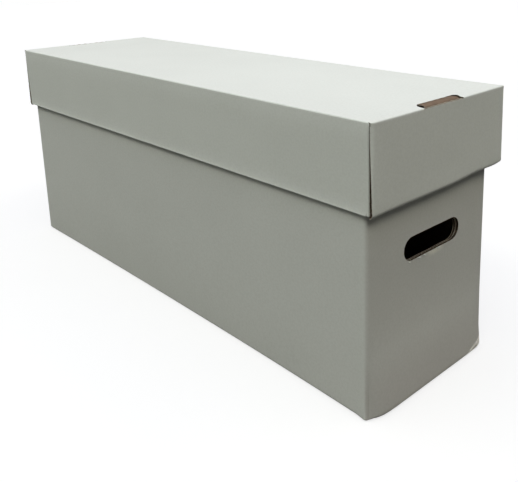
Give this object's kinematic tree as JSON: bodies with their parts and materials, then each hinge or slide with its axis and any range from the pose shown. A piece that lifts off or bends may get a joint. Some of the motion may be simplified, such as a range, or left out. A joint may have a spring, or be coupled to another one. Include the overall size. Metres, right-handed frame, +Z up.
{
  "type": "comic book box",
  "caption": "Long storage box of white corrugated board for comic books, with hand holes and a telescoping lift-off lid.",
  "frame": {"origin": "centre of the box's footprint, on the ground", "axes": "+X along the box towards its bulged front end, +Y across the box, +Z up"},
  "size_m": [0.708, 0.21, 0.293],
  "materials": {
    "box_board": "matte white paper liner with brown kraft inside",
    "lid_board": "matte white paper liner with brown kraft inside"
  },
  "bodies": {
    "box": {"box": "box_board"},
    "lid": {"lid": "lid_board"}
  },
  "joints": [
    {"name": "lid_lift", "type": "slide", "parent": "box", "child": "lid", "axis": [0, 0, 1], "range_m": [0, 0.12]}
  ]
}
